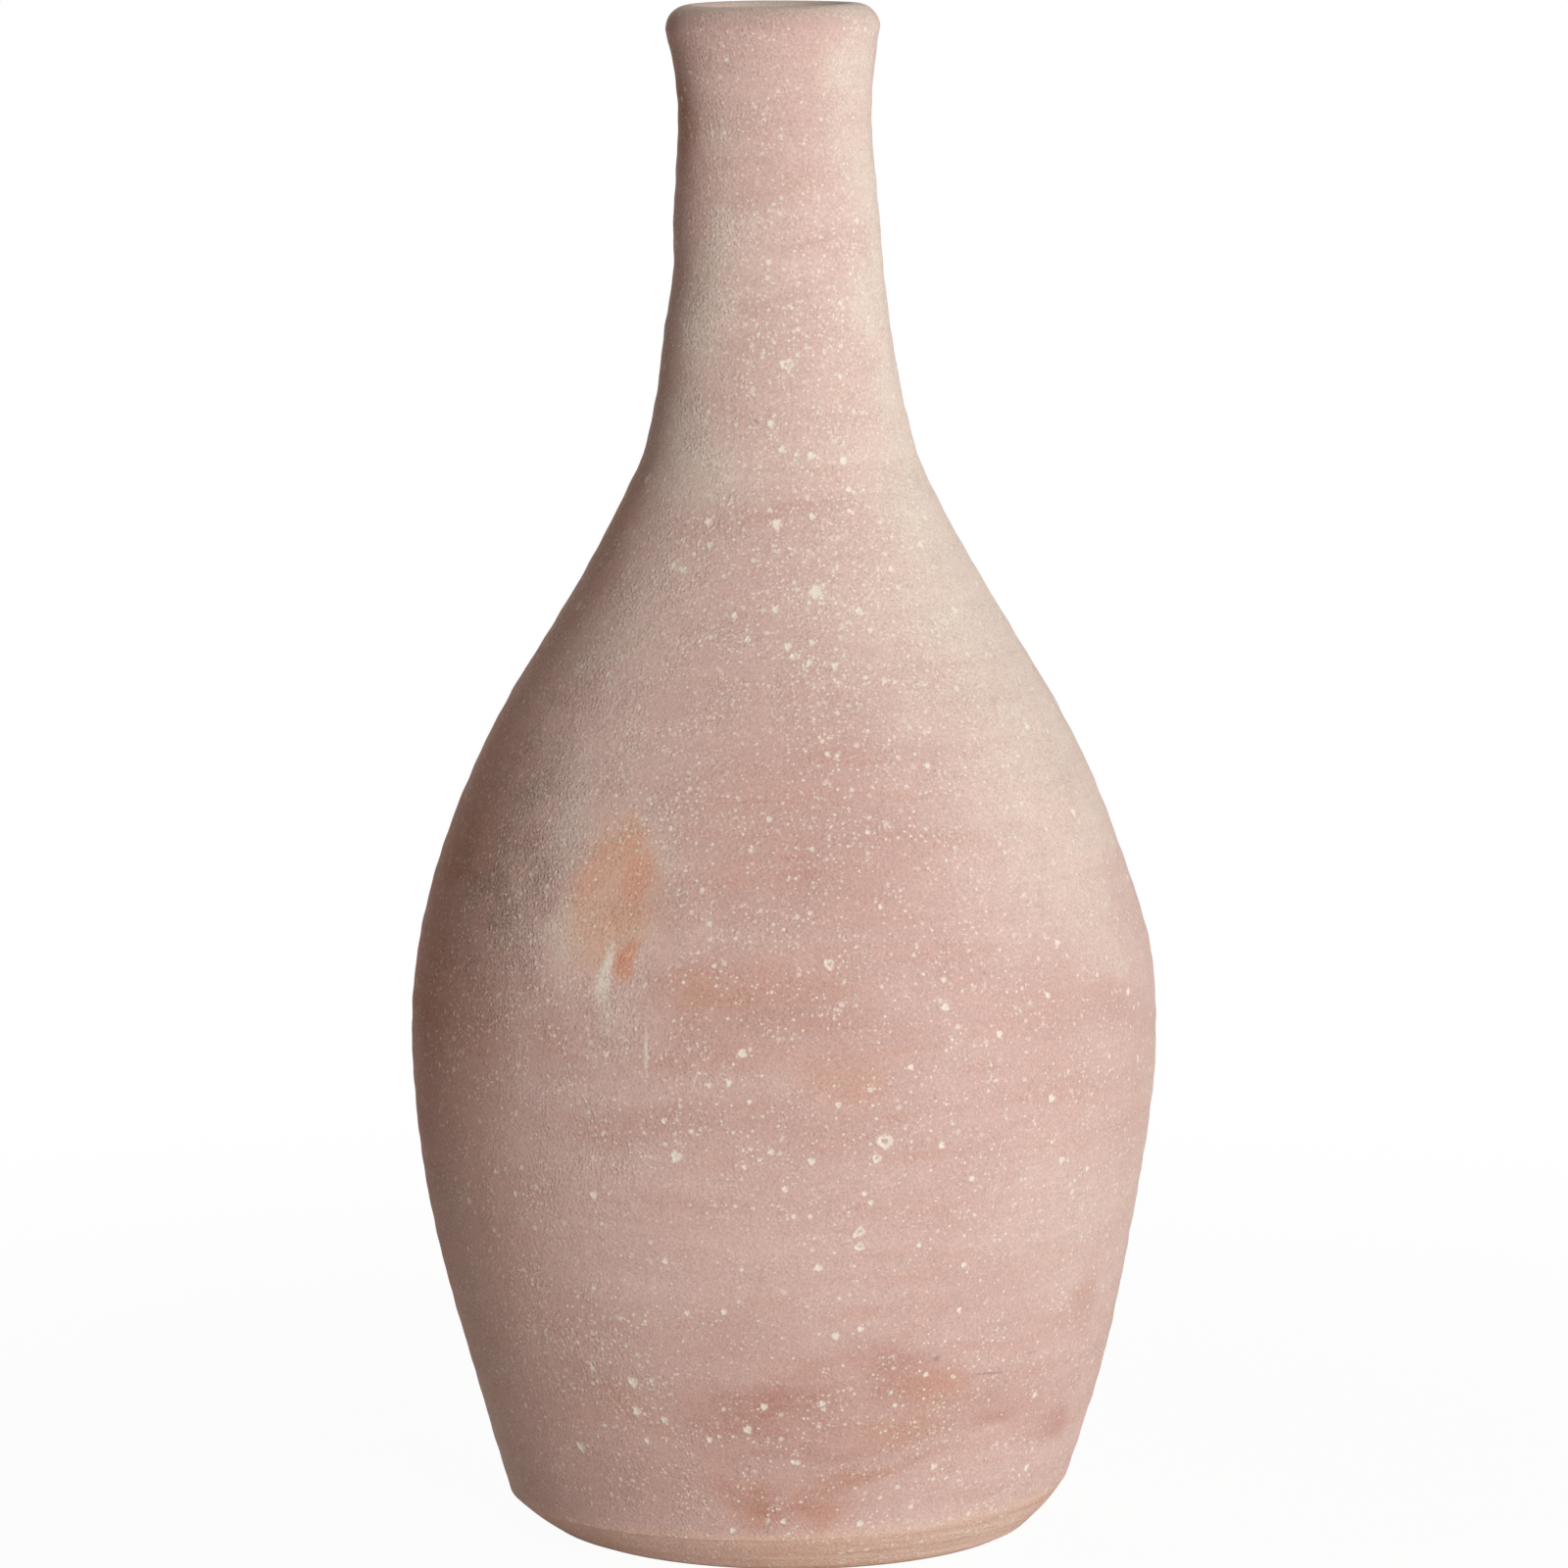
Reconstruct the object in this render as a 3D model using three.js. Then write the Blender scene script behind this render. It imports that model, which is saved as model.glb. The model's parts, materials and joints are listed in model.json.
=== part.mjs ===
// A hand-thrown bottle vase of unglazed clay, built up from six sections that are luted one on another.
// Millimetres, +Z up. The origin is the centre of the underside, and the dented front faces -Y.

import * as THREE from "three";

// Driving dimensions: the height of each section, from the floor slab up to the lip

const FLOOR_THICKNESS = 13.5;
const LOWER_WALL_HEIGHT = 129.5;
const BELLY_HEIGHT = 133;
const SHOULDER_HEIGHT = 78;
const LOWER_NECK_HEIGHT = 72;
const UPPER_NECK_HEIGHT = 74;

// Outer radii

const STANDING_RADIUS = 76.5;
const FOOT_RADIUS = 92.5;
const BELLY_RADIUS = 122.5;
const SHOULDER_RADIUS = 88.4;
const NECK_ROOT_RADIUS = 45;
const NECK_SEAM_RADIUS = 33.5;
const NECK_WAIST_RADIUS = 31.4;
const LIP_RADIUS = 35.2;

// Where the wall is widest and narrowest, and how the foot and the lip are worn and rounded

const BELLY_RISE = 20; // the widest turn, above the belly seam
const BELLY_SEAM_SETBACK = 1.1; // how much narrower the wall is at the belly seam
const WAIST_DROP = 35; // the narrowest turn, below the top of the lip
const EDGE_WEAR = 3.5; // width of the worn edge between the foot's bevel and the standing face
const EDGE_WEAR_HEIGHT = 1.5;
const LIP_ROUND = 8;
const MOUTH_ROUND = 2.6;
const LIP_ROUND_LIMIT = 0.73; // the most of the lip's thickness that each rounding may take
const MOUTH_ROUND_LIMIT = 0.25;

// Wall thickness, measured square to the wall

const FOOT_WALL = 12;
const BELLY_WALL = 10.5;
const SHOULDER_WALL = 9.5;
const NECK_ROOT_WALL = 9;
const NECK_WALL = 7.2;

// Lean of the wall: millimetres of radius gained for each millimetre of height

const FOOT_LEAN = 0.315;
const BELLY_SEAM_LEAN = 0.085;
const SHOULDER_LEAN_BELOW = -0.55;
const SHOULDER_LEAN_ABOVE = -0.6;
const NECK_ROOT_LEAN_BELOW = -0.36;
const NECK_ROOT_LEAN_ABOVE = -0.235;
const NECK_SEAM_LEAN = -0.04;
const LIP_LEAN = 0.23;

// Luted joint: a tongue under each section sits in a groove on the section below, in a film of slip

const SLIP_FILM = 0.3;
const KEY_DEPTH = 2.5;
const KEY_SHARE = 0.4; // width of the tongue's root, as a share of the edge that it stands on
const KEY_TAPER = 0.5; // width of the tongue's tip, as a share of its root

// What the potter's hand left: a leaning axis, and a dent pressed into the belly

const AXIS_LEAN = 5; // sideways drift of the axis over the whole height, towards -X
const DENT_DEPTH = 2;
const DENT_HALF_WIDTH = 27;
const DENT_HALF_HEIGHT = 56;
const DENT_RISE = 68; // the dent's centre, above the belly seam
const DENT_TURN = THREE.MathUtils.degToRad(-27); // from the front, towards -X
const DENT_TILT = THREE.MathUtils.degToRad(12); // its top leans towards +X

// Facets

const TURN_STEPS = 48;
const OUTER_STEP = 12; // height of one ring of facets on the outside
const INNER_STEP = 24;
const ROUND_STEPS = 4; // facets across each rounding of the lip

// Stations: a height, the outer radius and wall there, and the wall's lean just below and just above

function station(height, radius, wall, leanBelow, leanAbove = leanBelow) {
  return { height, radius, wall, leanBelow, leanAbove };
}

const foot = station(FLOOR_THICKNESS, FOOT_RADIUS, FOOT_WALL, FOOT_LEAN);
const bellySeam = station(
  foot.height + LOWER_WALL_HEIGHT,
  BELLY_RADIUS - BELLY_SEAM_SETBACK,
  BELLY_WALL,
  BELLY_SEAM_LEAN,
);
const widest = station(bellySeam.height + BELLY_RISE, BELLY_RADIUS, BELLY_WALL, 0);
const shoulderSeam = station(
  bellySeam.height + BELLY_HEIGHT,
  SHOULDER_RADIUS,
  SHOULDER_WALL,
  SHOULDER_LEAN_BELOW,
  SHOULDER_LEAN_ABOVE,
);
const neckRoot = station(
  shoulderSeam.height + SHOULDER_HEIGHT,
  NECK_ROOT_RADIUS,
  NECK_ROOT_WALL,
  NECK_ROOT_LEAN_BELOW,
  NECK_ROOT_LEAN_ABOVE,
);
const neckSeam = station(
  neckRoot.height + LOWER_NECK_HEIGHT,
  NECK_SEAM_RADIUS,
  NECK_WALL,
  NECK_SEAM_LEAN,
);
const top = neckSeam.height + UPPER_NECK_HEIGHT;
const waist = station(top - WAIST_DROP, NECK_WAIST_RADIUS, NECK_WALL, 0);

// The lip's thickness, from the bore to its widest turn, limits its two roundings

const mouthRadius = NECK_WAIST_RADIUS - NECK_WALL;
const lipThickness = LIP_RADIUS - mouthRadius;
const lipRound = Math.min(LIP_ROUND, LIP_ROUND_LIMIT * lipThickness);
const mouthRound = Math.min(MOUTH_ROUND, MOUTH_ROUND_LIMIT * lipThickness);
const lip = station(top - lipRound, LIP_RADIUS, lipThickness, LIP_LEAN);

// One stretch of the outer wall, as a cubic curve of radius against height

function stretch(from, to) {
  const third = (to.height - from.height) / 3;
  return new THREE.CubicBezierCurve(
    new THREE.Vector2(from.radius, from.height),
    new THREE.Vector2(from.radius + from.leanAbove * third, from.height + third),
    new THREE.Vector2(to.radius - to.leanBelow * third, to.height - third),
    new THREE.Vector2(to.radius, to.height),
  );
}

// Points up the wall through the given stations, starting a film of slip above the first one.
// Depth 0 gives the outer face and depth 1 the inner face, set in by the wall's thickness.

function wallFace(stations, depth, step) {
  const points = [];
  for (let i = 1; i < stations.length; i += 1) {
    const from = stations[i - 1];
    const to = stations[i];
    const height = to.height - from.height;
    const curve = stretch(from, to);
    const first = i === 1 ? SLIP_FILM / height : 0;
    const count = Math.max(2, Math.round(height / step));
    for (let k = i === 1 ? 0 : 1; k <= count; k += 1) {
      const t = first + ((1 - first) * k) / count;
      const point = curve.getPoint(t);
      const way = curve.getTangent(t);
      const wall = THREE.MathUtils.lerp(from.wall, to.wall, t);
      point.x -= (depth * wall) / Math.abs(way.y);
      points.push(point);
    }
  }
  return points;
}

// The luting key at a seam, from its outer corner to its inner one: play 0 is the tongue that stands
// under the upper section, and play 1 is the groove that leaves room for slip all round the tongue

function key(seam, play) {
  const edge = seam.wall * Math.hypot(1, seam.leanAbove);
  const middle = seam.radius - edge / 2;
  const root = (edge * KEY_SHARE) / 2 + play * SLIP_FILM;
  const tip = (edge * KEY_SHARE * KEY_TAPER) / 2 + play * SLIP_FILM;
  const face = seam.height + (1 - play) * SLIP_FILM;
  return [
    new THREE.Vector2(middle + root, face),
    new THREE.Vector2(middle + tip, face - KEY_DEPTH),
    new THREE.Vector2(middle - tip, face - KEY_DEPTH),
    new THREE.Vector2(middle - root, face),
  ];
}

// The rounded lip, from its widest turn over the top and into the bore

function lipFace() {
  const quarter = Math.PI / 2;
  const outer = new THREE.EllipseCurve(
    LIP_RADIUS - lipRound,
    top - lipRound,
    lipRound,
    lipRound,
    0,
    quarter,
  );
  const inner = new THREE.EllipseCurve(
    mouthRadius + mouthRound,
    top - mouthRound,
    mouthRound,
    mouthRound,
    quarter,
    2 * quarter,
  );
  return [...outer.getPoints(ROUND_STEPS).slice(1), ...inner.getPoints(ROUND_STEPS)];
}

// How far the dent pushes the wall in at a turn and a height, fading to nothing at its edge

function dentAt(turn, height) {
  const across = (turn - DENT_TURN) * BELLY_RADIUS;
  const up = height - bellySeam.height - DENT_RISE;
  const u = (across * Math.cos(DENT_TILT) - up * Math.sin(DENT_TILT)) / DENT_HALF_WIDTH;
  const v = (up * Math.cos(DENT_TILT) + across * Math.sin(DENT_TILT)) / DENT_HALF_HEIGHT;
  const inside = Math.max(0, 1 - u * u - v * v);
  return DENT_DEPTH * inside * inside;
}

// A section turned from its closed outline, then pressed and leaned as the whole pot was

function turned(outline) {
  const geometry = new THREE.LatheGeometry(outline, TURN_STEPS);
  geometry.rotateX(Math.PI / 2);
  const position = geometry.getAttribute("position");
  const vertex = new THREE.Vector3();
  for (let i = 0; i < position.count; i += 1) {
    vertex.fromBufferAttribute(position, i);
    const radius = Math.hypot(vertex.x, vertex.y);
    if (radius > 0) {
      const pressed = 1 - dentAt(Math.atan2(vertex.x, -vertex.y), vertex.z) / radius;
      vertex.x *= pressed;
      vertex.y *= pressed;
    }
    vertex.x -= (AXIS_LEAN * (vertex.z - widest.height)) / top;
    position.setXYZ(i, vertex.x, vertex.y, vertex.z);
  }
  geometry.computeVertexNormals();
  return geometry;
}

// The floor slab: a flat disc with a bevelled and worn edge, and the first groove in its upper face

function floorSlab() {
  return turned([
    new THREE.Vector2(0, 0),
    new THREE.Vector2(STANDING_RADIUS, 0),
    new THREE.Vector2(STANDING_RADIUS + EDGE_WEAR, EDGE_WEAR_HEIGHT),
    new THREE.Vector2(FOOT_RADIUS, FLOOR_THICKNESS),
    ...key(foot, 1),
    new THREE.Vector2(0, FLOOR_THICKNESS),
  ]);
}

// A ring of wall between two seams, with a tongue under it and a groove on top

function wallRing(...stations) {
  const below = stations[0];
  const above = stations[stations.length - 1];
  const outline = [
    ...wallFace(stations, 0, OUTER_STEP),
    ...key(above, 1),
    ...wallFace(stations, 1, INNER_STEP).reverse(),
    ...key(below, 0).reverse(),
  ];
  return turned([...outline, outline[0]]);
}

// The upper neck: its flared outside and rounded lip, and a bore that is straight above the waist

function neckAndLip() {
  const outline = [
    ...wallFace([neckSeam, waist, lip], 0, OUTER_STEP),
    ...lipFace(),
    ...wallFace([neckSeam, waist], 1, INNER_STEP).reverse(),
    ...key(neckSeam, 0).reverse(),
  ];
  return turned([...outline, outline[0]]);
}

// Each section's solid and the colour that it fired to

const sections = {
  floor_slab: [floorSlab(), "#b98f78"],
  lower_wall: [wallRing(foot, bellySeam), "#c39f94"],
  belly_wall: [wallRing(bellySeam, widest, shoulderSeam), "#c4a096"],
  shoulder: [wallRing(shoulderSeam, neckRoot), "#c9a89c"],
  lower_neck: [wallRing(neckRoot, neckSeam), "#ccada0"],
  upper_neck: [neckAndLip(), "#ccada1"],
};

const vase = new THREE.Group();
for (const [name, [geometry, color]] of Object.entries(sections)) {
  const clay = new THREE.MeshStandardMaterial({ color, roughness: 0.92, metalness: 0 });
  const section = new THREE.Mesh(geometry, clay);
  section.name = name;
  vase.add(section);
}

export default vase;
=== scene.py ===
# %% [markdown]
# # A clay bottle vase
#
# The real object is a tall bottle of coarse, limy clay that fired to a dusty pink, made in sections that
# were luted together, and left without a glaze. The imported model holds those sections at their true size.
# This lesson gives each one its skin: the marks of the hand in the mesh, and the clay in the material.

# %% Load the frame
import json
import math
from collections import namedtuple

import bmesh
import bpy
import numpy as np
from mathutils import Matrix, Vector
from mathutils.geometry import interpolate_bezier

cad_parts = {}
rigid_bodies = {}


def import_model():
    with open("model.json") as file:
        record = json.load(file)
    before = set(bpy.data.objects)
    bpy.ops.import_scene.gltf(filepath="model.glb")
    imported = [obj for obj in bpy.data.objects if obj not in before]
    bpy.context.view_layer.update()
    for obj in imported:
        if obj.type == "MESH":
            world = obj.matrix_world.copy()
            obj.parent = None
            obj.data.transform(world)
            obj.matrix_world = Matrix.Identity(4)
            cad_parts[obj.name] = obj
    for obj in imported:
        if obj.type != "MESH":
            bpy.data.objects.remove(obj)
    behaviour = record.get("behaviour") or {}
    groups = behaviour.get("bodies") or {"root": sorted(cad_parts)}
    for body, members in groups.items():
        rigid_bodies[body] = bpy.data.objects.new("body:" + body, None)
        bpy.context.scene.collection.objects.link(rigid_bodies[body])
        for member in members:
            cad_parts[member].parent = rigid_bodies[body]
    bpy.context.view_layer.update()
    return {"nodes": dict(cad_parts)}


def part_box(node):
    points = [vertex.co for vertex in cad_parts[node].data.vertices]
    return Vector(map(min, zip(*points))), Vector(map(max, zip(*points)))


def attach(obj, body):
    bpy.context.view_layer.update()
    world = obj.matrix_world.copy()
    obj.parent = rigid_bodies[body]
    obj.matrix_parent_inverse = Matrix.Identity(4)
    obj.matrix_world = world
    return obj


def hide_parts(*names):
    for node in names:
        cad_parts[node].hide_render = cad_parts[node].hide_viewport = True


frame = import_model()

MM = 0.001
print("sections:", ", ".join(frame["nodes"]))

# %% [markdown]
# ## The camera
#
# A studio camera stood well back with a long lens, a little above the rim and looking slightly down. The
# foot then shows as a wide ellipse and the rim as a thin one, and those two shapes fix the height of the
# camera. A long lens could be faked with an orthographic camera, but then both ellipses would be equally
# open.

# %% Camera
CAMERA_PLACE = (0, -2.3375, 0.561)
CAMERA_PITCH = math.radians(-7.7)
LEVEL_GAZE = math.radians(90)
LENS = 165
SENSOR_WIDTH = 36
FAR_CLIP = 100

photo_camera = bpy.data.cameras.new("photo_camera")
photo_camera.sensor_width = SENSOR_WIDTH
photo_camera.lens = LENS
photo_camera.clip_end = FAR_CLIP
viewpoint = bpy.data.objects.new("viewpoint", photo_camera)
viewpoint.location = CAMERA_PLACE
viewpoint.rotation_euler = (LEVEL_GAZE + CAMERA_PITCH, 0, 0)
bpy.context.scene.collection.objects.link(viewpoint)
bpy.context.scene.camera = viewpoint
print("camera at", CAMERA_PLACE, "with a lens of", LENS, "mm")

# %% [markdown]
# ## The line of the wall
#
# A potter reads a pot as one line from foot to lip. Here that line is a chain of stations: a height, a
# radius, a wall thickness, and how the wall leans just below and just above. Heights and the main radii
# are read from the frame, so the skin can't drift from the solids, and a cubic curve runs from each
# station to the next.

# %% Measures from the frame


def top_of(node):
    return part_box(node)[1][2] / MM


def radius_of(node):
    low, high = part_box(node)
    return (high[1] - low[1]) / 2 / MM


height = top_of("upper_neck")
print("the pot is", round(height), "mm tall and", round(2 * radius_of("belly_wall")), "mm across")

# %% Stations of the wall
Station = namedtuple("Station", "height radius wall lean_below lean_above")
BELLY_RISE = 20  # the widest turn, above the belly seam
NECK_SEAM_RADIUS = 33.5
NECK_WAIST_RADIUS = 31.4
NECK_WALL = 7.2
WAIST_DROP = 35  # the narrowest turn, below the top of the lip
LIP_ROUND = 8

foot = Station(top_of("floor_slab"), radius_of("floor_slab"), 12, 0.315, 0.315)
belly_seam = Station(top_of("lower_wall"), radius_of("lower_wall"), 10.5, 0.085, 0.085)
widest = Station(belly_seam.height + BELLY_RISE, radius_of("belly_wall"), 10.5, 0, 0)
shoulder_seam = Station(top_of("belly_wall"), radius_of("shoulder"), 9.5, -0.55, -0.6)
neck_root = Station(top_of("shoulder"), radius_of("lower_neck"), 9, -0.36, -0.235)
neck_seam = Station(top_of("lower_neck"), NECK_SEAM_RADIUS, NECK_WALL, -0.04, -0.04)
waist = Station(height - WAIST_DROP, NECK_WAIST_RADIUS, NECK_WALL, 0, 0)
lip = Station(height - LIP_ROUND, radius_of("upper_neck"), NECK_WALL, 0.23, 0.23)
print("the wall runs from a foot of", round(foot.radius, 1), "mm to a lip of", round(lip.radius, 1), "mm")

# %% [markdown]
# ## Points along the wall
#
# One function gives the points of a stretch of wall, outside or inside. The inside could be made with a
# Solidify modifier, but then its thickness would be the same everywhere, and thrown clay is thicker at the
# foot.

# %% A face of the wall
OUTER_ROW = 1.2
INNER_ROW = 9


def wall_face(stations, depth, row):
    """Points up the wall: depth 0 is the outer face, and depth 1 the inner face."""
    points = []
    for below, above in zip(stations, stations[1:]):
        rise = above.height - below.height
        handles = (
            Vector((below.radius, below.height)),
            Vector((below.radius + below.lean_above * rise / 3, below.height + rise / 3)),
            Vector((above.radius - above.lean_below * rise / 3, above.height - rise / 3)),
            Vector((above.radius, above.height)),
        )
        count = max(3, round(rise / row) + 1)
        radius, level = np.array(interpolate_bezier(*handles, count)).T
        wall = np.linspace(below.wall, above.wall, count)
        radius = radius - depth * wall * np.hypot(1, np.gradient(radius, level))
        points += list(zip(radius, level))[1 if points else 0:]
    return points


print("outer rows every", OUTER_ROW, "mm, inner rows every", INNER_ROW, "mm")

# %% [markdown]
# ## Seams, bevel and lip
#
# Each section is keyed to the one below: the tongue under it sits in a groove, with a film of slip between
# them. The foot ends in a knife-cut bevel that swells a little, and the lip in a rolled edge. A Bevel
# modifier could round them all, but it would round every seam alike, so each has its own short function.

# %% Luting key
KEY_DEPTH = 2.5
KEY_SHARE = 0.4  # width of the tongue's root, as a share of the edge that it stands on
KEY_TAPER = 0.5
SLIP_FILM = 0.3


def luting_key(seam, film):
    """The tongue under a section, or with a film of slip the groove that takes it."""
    edge = seam.wall * math.hypot(1, seam.lean_above)
    middle = seam.radius - edge / 2
    root = edge * KEY_SHARE / 2 + film
    tip = edge * KEY_SHARE * KEY_TAPER / 2 + film
    low = seam.height - KEY_DEPTH - film
    return [
        (middle + root, seam.height),
        (middle + tip, low),
        (middle - tip, low),
        (middle - root, seam.height),
    ]


print("the tongue at the foot is", round(foot.wall * KEY_SHARE, 1), "mm wide")

# %% Bevel of the foot
STANDING_RADIUS = 76.5
EDGE_WEAR = 3.5
EDGE_WEAR_HEIGHT = 1.5
BEVEL_SWELL = 0.8
BEVEL_ROWS = 13


def bevel_face():
    share = np.linspace(0, 1, BEVEL_ROWS)
    inner = STANDING_RADIUS + EDGE_WEAR
    radius = inner + share * (foot.radius - inner) + BEVEL_SWELL * np.sin(math.pi * share)
    return list(zip(radius, EDGE_WEAR_HEIGHT + share * (foot.height - EDGE_WEAR_HEIGHT)))


print("the bevel climbs to", round(foot.height, 1), "mm")

# %% Lip, and the whole line
LIP_ROWS = 14


def arc(middle, radius, start, end, count):
    turns = np.radians(np.linspace(start, end, count))
    return [(middle[0] + radius * math.cos(turn), middle[1] + radius * math.sin(turn)) for turn in turns]


lip_round = arc((lip.radius - LIP_ROUND, lip.height), LIP_ROUND, 0, 90, LIP_ROWS)
wall_stations = (foot, belly_seam, widest, shoulder_seam, neck_root, neck_seam, waist, lip)
wall_line = [(STANDING_RADIUS, 0)] + bevel_face() + wall_face(wall_stations, 0, OUTER_ROW) + lip_round[1:]
line_radii, line_levels = zip(*wall_line)
print("the wall line has", len(wall_line), "points")

# %% [markdown]
# ## Where things sit on the pot
#
# Dents, stains and specks are all placed the same way: by a turn from the front in degrees, a height in
# millimetres, two half sizes and a tilt. One function measures how far every point lies from such a mark,
# with 1 at its edge. A texture painted on an unwrapped sheet would do the same job, but it would hide the
# numbers.

# %% Places on the wall
SKIN = 2  # points this close to the outer line belong to the outside


def outer_radius(level):
    return np.interp(level, line_levels, line_radii)


def turn_of(points):
    return np.degrees(np.arctan2(points[:, 0], -points[:, 1]))


def on_skin(points):
    return outer_radius(points[:, 2]) - np.hypot(points[:, 0], points[:, 1]) < SKIN


print("the wall is", round(float(outer_radius(height / 2)), 1), "mm from the axis at half height")

# %% Marks on the wall
Mark = namedtuple("Mark", "turn height half_width half_height tilt strength")


def across_from(mark, turn):
    """How far round the wall each point lies from a mark, in millimetres."""
    return np.radians((turn - mark.turn + 180) % 360 - 180) * outer_radius(mark.height)


def distance_to(mark, turn, level):
    across = across_from(mark, turn)
    up = level - mark.height
    tilt = math.radians(mark.tilt)
    side = (across * math.cos(tilt) - up * math.sin(tilt)) / mark.half_width
    along = (up * math.cos(tilt) + across * math.sin(tilt)) / mark.half_height
    return np.hypot(side, along)


sample = Mark(0, 100, 20, 10, 0, 1)
print("20 mm above the middle of a mark 20 mm high is", float(distance_to(sample, 0, 120)), "half heights")

# %% Soft edges


def fade(distance):
    inside = np.clip(1 - distance * distance, 0, 1)
    return inside * inside


def ramp(value, low, high):
    share = np.clip((value - low) / (high - low), 0, 1)
    return share * share * (3 - 2 * share)


def patches(marks, turn, level):
    """The marks' strengths, added up, each fading to nothing at its edge."""
    return sum(mark.strength * fade(distance_to(mark, turn, level)) for mark in marks)


print("half way out, a mark keeps", round(float(fade(0.5)), 2), "of its strength")

# %% [markdown]
# ## Lime pops
#
# Coarse clay holds crumbs of lime. After firing they swell and burst through the skin, and leave a pale
# crumb or a little crater with a pale rim. The large ones on the front are placed one by one, others are
# strewn over the sides and the back, and all of these are pressed into the mesh. The thousands of small
# ones are left to the material, because sculpting every grain would need millions of faces.

# %% Large pops
Pop = namedtuple("Pop", "turn height half_width half_height tilt ring")
LARGE_POPS = (
    Pop(4.8, 385.7, 2.5, 1.8, 0, True),
    Pop(7.1, 203.8, 1.7, 1.7, 0, True),
    Pop(15.0, 147.6, 3.0, 2.2, 10, True),
    Pop(13.8, 142.3, 1.6, 1.5, 0, True),
    Pop(11.3, 118.5, 2.3, 1.4, -35, True),
    Pop(11.4, 113.6, 1.6, 1.4, 0, True),
    Pop(10.6, 314.9, 2.3, 2.3, 0, False),
    Pop(-16.3, 142.7, 1.9, 2.0, 0, False),
    Pop(-0.5, 335.8, 1.6, 1.8, 0, False),
    Pop(-6.1, 176.3, 1.5, 1.5, 0, False),
    Pop(-41.3, 40.5, 1.9, 1.5, 30, False),
    Pop(-27.1, 65.9, 1.8, 1.9, 0, False),
    Pop(-27.2, 55.8, 1.5, 1.5, 0, False),
    Pop(-22.0, 53.6, 1.2, 1.2, 0, False),
    Pop(-30.3, 127.9, 1.4, 1.4, 0, False),
)
print(len(LARGE_POPS), "large pops,", sum(pop.ring for pop in LARGE_POPS), "of them craters")

# %% Crumbs on the front
# Each crumb is a turn, a height and a half size
CRUMBS = (
    (-11, 17, 1), (-1, 20, 1), (14, 18, 1.2), (28, 36, 1.1), (1, 41, 0.9), (-26, 46, 1), (-14, 48, 1),
    (-7, 52, 1.4), (-4, 60, 1.2), (6, 61, 1.1), (24, 69, 0.9), (8, 84, 1.3), (12, 86, 1.1), (29, 90, 0.9),
    (-16, 91, 1), (-10, 92, 1), (29, 105, 1), (5, 107, 1.3), (-19, 108, 1), (21, 113, 0.9), (13, 128, 0.9),
    (12, 131, 0.9), (0, 133, 1.1), (-6, 140, 0.9), (4, 142, 1.2), (-2, 145, 1), (24, 145, 1), (-18, 154, 1),
    (8, 160, 1), (-5, 161, 0.8), (-11, 166, 0.9), (-8, 167, 1), (19, 171, 1), (13, 293, 1.1), (7, 294, 1),
    (3, 296, 0.9), (2, 299, 1.2), (8, 300, 0.9), (-8, 301, 1), (-12, 308, 1), (22, 309, 1.3), (-1, 310, 1.2),
    (13, 317, 0.8), (-30, 321, 1.2), (36, 321, 1), (-34, 322, 1.2), (-23, 329, 1), (-25, 336, 1.4),
    (12, 338, 1.1), (28, 346, 1), (28, 355, 1.4), (14, 357, 1.3), (2, 359, 1.3), (-3, 367, 1.3),
    (25, 189, 1.3), (34, 179, 1.2), (48, 204.5, 1.2), (44, 189, 1), (66, 184, 1.4), (44, 156, 1.4),
    (24, 145.5, 1), (47, 135, 1.2), (-46, 226.5, 1), (-19.5, 244, 0.9), (-13, 226, 0.8), (-11.5, 216, 0.9),
    (-10.5, 203, 0.8),
)
print(len(CRUMBS), "crumbs on the front")

# %% Stray crumbs on the sides and the back
STRAY_CRUMBS = 70
STRAY_SEED = 11
STRAY_TURNS = (45, 315)
STRAY_HEIGHTS = (20, 470)
STRAY_SIZES = (0.7, 1.5)

luck = np.random.default_rng(STRAY_SEED)
stray_turns = luck.uniform(*STRAY_TURNS, STRAY_CRUMBS)
stray_heights = luck.uniform(*STRAY_HEIGHTS, STRAY_CRUMBS)
stray_sizes = luck.uniform(*STRAY_SIZES, STRAY_CRUMBS)
all_crumbs = CRUMBS + tuple(zip(stray_turns, stray_heights, stray_sizes))
POPS = LARGE_POPS + tuple(Pop(turn, level, size, size, 0, False) for turn, level, size in all_crumbs)
print(len(POPS), "lime pops,", STRAY_CRUMBS, "of them strewn at random on the sides and the back")

# %% Shape of a pop
REACH = 15  # marks further above or below a section than this can't touch it
POP_PIT = 0.35
PIT_EDGE = (0.2, 0.8)  # shares of the pop's half size, as the rim's place and width are
POP_RIM = 0.12
RIM_PLACE = 0.9
RIM_WIDTH = 0.5
FLUSH = 0.3  # a crumb that has not burst keeps this share of the relief
WOBBLE = 0.14  # no crumb is round: each has three broad lobes and five faint ones
FAINT_LOBES = 0.6


def in_reach(marks, level):
    return [mark for mark in marks if level.min() - REACH < mark.height < level.max() + REACH]


def pop_distance(pop, turn, level):
    bearing = np.arctan2(level - pop.height, across_from(pop, turn))
    wobble = np.sin(3 * bearing + pop.height) + FAINT_LOBES * np.sin(5 * bearing + 2 * pop.height)
    return distance_to(pop, turn, level) * (1 + WOBBLE * wobble)


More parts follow.
